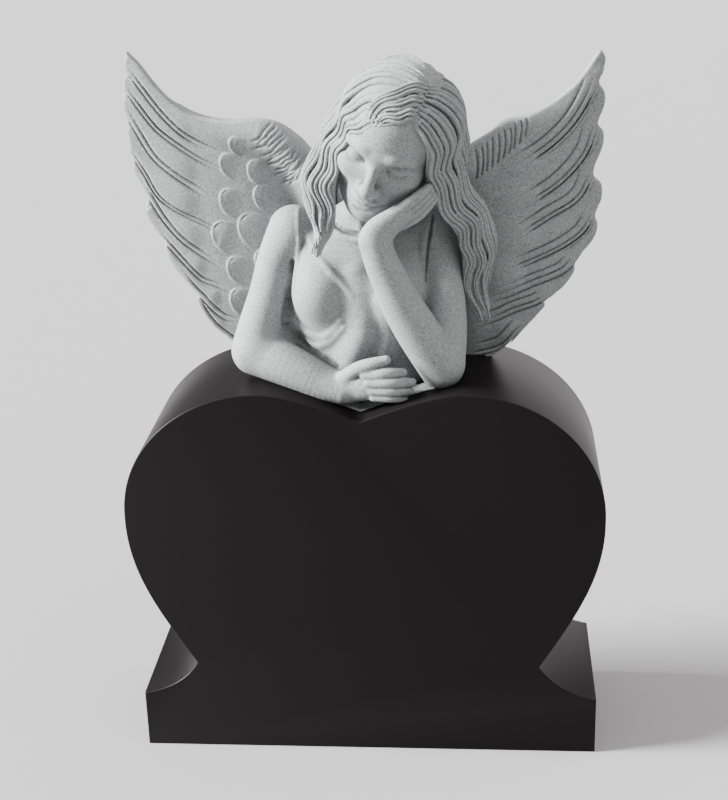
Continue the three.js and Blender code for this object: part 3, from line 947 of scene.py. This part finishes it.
def tuftLines():  # short ruffled lines at the left wing's bend
    chance = random.Random(wing["seed"]["tuft"])
    lines = []
    for i in range(15):
        s = -0.35 + 1.4 * i / 14
        start = np.array([88 - 42 * s + 25 * s * s, 806 - 46 * s])
        end = np.array([126 - 32 * s + 8 * s * s, 777 - 43 * s])
        first, last = chance.uniform(0, 0.25), chance.uniform(0.7, 1.15)
        rows = []
        for k in range(6):
            t = first + (last - first) * k / 5
            x, z = start + (end - start) * t + chance.uniform(-1.3, 1.3) - (0, 4 * math.sin(math.pi * t))
            rows.append((-x, z))
        lines.append(rows)
    return lines


def combLines():  # even lines along the right wing's arm
    chance = random.Random(wing["seed"]["comb"])
    lines = []
    for i in range(10):
        share = i / 9
        top = (205 - 64 * share, 818 - 34 * share ** 1.4)
        foot = (202 - 60 * share, 792 - 54 * share ** 0.8)
        bend = chance.uniform(1, 4)
        lines.append([(top[0] + (foot[0] - top[0]) * t + bend * math.sin(math.pi * t),
                       top[1] + (foot[1] - top[1]) * t) for t in (chance.uniform(0, 0.1), 0.35, 0.7, 1)])
    return lines


def carveWing(name):
    shape = wing[name]
    side = shape["side"]
    inner, tip = sorted((30 * side, 312 * side))
    block = carvingBlock((inner, 10, 490), (tip, 98, 912), wing["cell"])
    flat = outlineDistance(block, shape["outline"], side)
    addWeb(block, flat)
    addLimb(block, [(side * x, y, z, r) for x, y, z, r in shape["arm"]], 16)
    fuse(block, sweep(name + "Feathers", vanePaths(shape), wing["vane"], greyStone), 1)
    chisel(block, wingLines(shape), **wing["feather"])
    if side < 0:
        scales, rims = scalePaths(block, shape, False), scalePaths(block, shape, True)
        fuse(block, sweep(name + "Scales", scales, wing["scale"], greyStone), 2)
        fuse(block, sweep(name + "Rims", rims, wing["rim"], greyStone), 2)
        chisel(block, tuftLines(), **wing["tuft"])
    else:
        for x, z, half in shape["scales"]:
            addBall(block, (x, webFront(x) + 4, z), (half, 6, half), 8)
        chisel(block, combLines(), **wing["comb"])
    block["field"] = softMax(block["field"], flat[:, None, :], 4)
    clearStone(block)
    return pieceFromBlock(name, block)


# Heart tablet: the outline drawn through the depth, with a small rounded edge
def makeStone():
    half = np.vstack([part[:-1] for part in stoneHalf()] + [np.array([(0, stone["cleft"])])])
    half = np.vstack([[(stone["footHalf"], 0)], half])
    outline = np.vstack([half, (half[:-1] * (-1, 1))[::-1]])
    step = np.roll(outline, -1, 0) - np.roll(outline, 1, 0)
    step = step / np.linalg.norm(step, axis=1)[:, None]
    inward = np.stack([-step[:, 1], step[:, 0]], 1)
    rings = []
    for end in (-1, 1):
        for angle in (0, 30, 60, 90):
            a = math.radians(angle)
            inset = stone["arris"] * (1 - math.sin(a))
            y = end * (stone["depth"] / 2 - stone["arris"] * (1 - math.cos(a)))
            ring = outline + inward * inset
            rings.append(np.stack([ring[:, 0], np.full(len(ring), y), ring[:, 1]], 1))
    rings = rings[:4] + rings[:3:-1]
    count = len(outline)
    faces = [tuple(range(count))]
    for k in range(len(rings) - 1):
        for i in range(count):
            j = (i + 1) % count
            faces.append((k * count + j, k * count + i, (k + 1) * count + i, (k + 1) * count + j))
    faces.append(tuple(range((len(rings) - 1) * count, len(rings) * count))[::-1])
    return newPiece("heartStone", (np.vstack(rings) * mm).tolist(), [], faces)


# Finishes
def plainFinish(name, roughness):
    finish = bpy.data.materials.new(name)
    finish.use_nodes = True
    shader = finish.node_tree.nodes["Principled BSDF"]
    shader.inputs["Roughness"].default_value = roughness
    return finish, finish.node_tree, shader


granite = {
    "roughness": 0.78,
    "grain": 620,
    "spread": (0.32, 0.68),  # where the grain turns from dark to light
    "dark": (0.115, 0.123, 0.122, 1),
    "light": (0.285, 0.3, 0.297, 1),
    "paintedShade": (0.022, 0.022, 0.02, 1),  # painted shade: the near-black that darkens the creases
    "reach": 2,  # length in mm past which an edge counts for less
    "least": 0.1,  # depth in mm that gets no painted shade
    "creases": ((10, 0.4), (110, 5)),  # rounds of smoothing, and the depth at which a crease's painted shade is full
    "most": 0.72,
}


def markPaintedShade(piece):  # how deep each point lies under its smoothed surface, kept as the mask for painted shade in the creases
    mesh = piece.data
    count = len(mesh.vertices)
    spots = readOut(mesh.vertices, "co", 3, np.float32) / mm
    ways = readOut(mesh.vertex_normals, "vector", 3, np.float32)
    ends = readOut(mesh.edges, "vertices", 2, np.int32)
    here, there = np.concatenate([ends, ends[:, ::-1]]).T
    gaps = np.linalg.norm(spots[here] - spots[there], axis=1)
    pull = np.minimum(1, (granite["reach"] / np.maximum(gaps, 0.01)) ** 2)
    shares = 2 * np.maximum(np.bincount(here, minlength=count), 1)
    smooth = spots.astype(float)
    paintedShade = np.zeros(count)
    for rounds, full in granite["creases"]:
        for i in range(rounds):
            apart = (smooth[there] - smooth[here]) * pull[:, None]
            moves = [np.bincount(here, apart[:, axis], count) / shares for axis in range(3)]
            smooth = smooth + np.stack(moves, 1)
        depth = ((smooth - spots) * ways).sum(1)
        paintedShade = np.maximum(paintedShade, np.clip((depth - granite["least"]) / full, 0, 1))
    values = (granite["most"] * paintedShade).astype(np.float32)
    mesh.attributes.new("paintedShade", "FLOAT", "POINT").data.foreach_set("value", values)


def greyGranite():
    finish, tree, shader = plainFinish("greyGranite", granite["roughness"])
    where = tree.nodes.new("ShaderNodeTexCoord").outputs["Object"]
    grain = addNode(tree, "ShaderNodeTexNoise", {"Vector": where, "Scale": granite["grain"], "Detail": 3})
    shade = addNode(tree, "ShaderNodeValToRGB", {"Fac": grain.outputs["Fac"]})
    for stop, spot, colour in zip(shade.color_ramp.elements, granite["spread"], ("dark", "light")):
        stop.position = spot
        stop.color = granite[colour]
    paintedShade = addNode(tree, "ShaderNodeAttribute", {}, attribute_name="paintedShade")
    # painted shade: the grain colour is mixed towards a near-black in the creases, by the depth mask
    paintedShadeMix = tree.nodes.new("ShaderNodeMix")
    paintedShadeMix.data_type = "RGBA"
    tree.links.new(paintedShade.outputs["Fac"], paintedShadeMix.inputs["Factor"])
    tree.links.new(shade.outputs["Color"], paintedShadeMix.inputs["A"])
    paintedShadeMix.inputs["B"].default_value = granite["paintedShade"]
    tree.links.new(paintedShadeMix.outputs["Result"], shader.inputs["Base Color"])
    return finish


polished = {
    "roughness": 0.4,
    "colour": (0.005, 0.0042, 0.0046, 1),
    "gloss": 0.1,
    "tint": (1, 0.92, 0.96, 1),
}


def blackGranite():
    finish, tree, shader = plainFinish("blackGranite", polished["roughness"])
    shader.inputs["Base Color"].default_value = polished["colour"]
    shader.inputs["Specular IOR Level"].default_value = polished["gloss"]
    shader.inputs["Specular Tint"].default_value = polished["tint"]
    return finish


greyStone = greyGranite()
blackStone = blackGranite()


def finishPiece(piece, node, material):
    thinOut(piece, setting["triangles"][piece.name])
    if material == greyStone:
        # marks where painted shade darkens the creases
        markPaintedShade(piece)
    piece.data.materials.clear()
    piece.data.materials.append(material)
    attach(piece, "root")
    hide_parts(node)
    print(piece.name, triangleCount(piece), "triangles")


# Camera at the photograph's place, floor and light
view = {
    "at": (0.1539, -1.8021, 1.1707),
    "right": (0.9968, 0.0748, -0.0285),
    "up": (-0.0009, 0.3655, 0.9307),
    "back": (0.0802, -0.9278, 0.3649),
    "lens": 67.5,
}


def makeCamera():
    data = bpy.data.cameras.new("camera")
    data.lens = view["lens"]
    data.sensor_width = 36
    camera = bpy.data.objects.new("camera", data)
    turn = Matrix((view["right"], view["up"], view["back"])).transposed()
    camera.matrix_world = Matrix.Translation(view["at"]) @ turn.to_4x4()
    bpy.context.scene.collection.objects.link(camera)
    bpy.context.scene.camera = camera


light = {
    "from": (-2.6, -0.3, 1.1),
    "key": 28,
    "softness": 18,
    "fillFrom": (2, -0.8, 2.5),
    "fill": 1.6,
    "fillSoftness": 60,
    "sky": 0.08,
    "zenith": 2.2,
    "backdrop": 2.2,  # brighter low down behind the stone and to the right
    "skyColour": (1, 0.93, 0.97, 1),
    "floor": (0.28, 0.28, 0.28, 1),
    "floorHalf": 12,
}


def makeStage():
    size = light["floorHalf"]
    corners = [(-size, -size, 0), (size, -size, 0), (size, size, 0), (-size, size, 0)]
    floor = newPiece("floor", corners, [], [(0, 1, 2, 3)])
    pale, tree, shader = plainFinish("paleFloor", 0.9)
    shader.inputs["Base Color"].default_value = light["floor"]
    floor.data.materials.append(pale)
    world = bpy.data.worlds.new("studio")
    bpy.context.scene.world = world
    world.use_nodes = True
    tree = world.node_tree
    where = tree.nodes.new("ShaderNodeTexCoord").outputs["Generated"]
    way = addNode(tree, "ShaderNodeSeparateXYZ", {0: where}).outputs
    parts = []
    spans = (("X", -0.25, 0.1, 0.11), ("Y", 0.4, 0.9, 0), ("Z", 0.75, 0.4, 0), ("Z", 0.4, 1, 0))
    for axis, low, high, least in spans:  # three for the backdrop, the last for the zenith
        part = addNode(tree, "ShaderNodeMapRange", {
            "Value": way[axis], "From Min": low, "From Max": high, "To Min": least})
        parts.append(part.outputs["Result"])
    glow = parts[0]
    for part in parts[1:3]:
        glow = addNode(tree, "ShaderNodeMath", {0: glow, 1: part}, operation="MULTIPLY").outputs[0]
    strength = light["sky"]
    for part, most in ((parts[3], light["zenith"]), (glow, light["backdrop"])):
        strength = addNode(tree, "ShaderNodeMath", {0: part, 1: most, 2: strength},
                           operation="MULTIPLY_ADD").outputs[0]
    background = tree.nodes["Background"].inputs
    background["Color"].default_value = light["skyColour"]
    tree.links.new(strength, background["Strength"])
    for name, place, softness in (("key", "from", "softness"), ("fill", "fillFrom", "fillSoftness")):
        data = bpy.data.lights.new(name, "SUN")
        data.energy = light[name]
        data.angle = math.radians(light[softness])
        lamp = bpy.data.objects.new(name, data)
        lamp.rotation_euler = (-Vector(light[place])).to_track_quat("-Z", "Y").to_euler()
        bpy.context.scene.collection.objects.link(lamp)


makeCamera()
makeStage()
print("camera, floor and light")
finishPiece(makeStone(), "heart_stone", blackStone)
finishPiece(carveHead(), "angel", greyStone)
finishPiece(carveBody(), "angel", greyStone)
for name in hair["pieces"]:
    finishPiece(carveHair(name), "angel", greyStone)
for name in ("leftWing", "rightWing"):
    finishPiece(carveWing(name), "angel", greyStone)
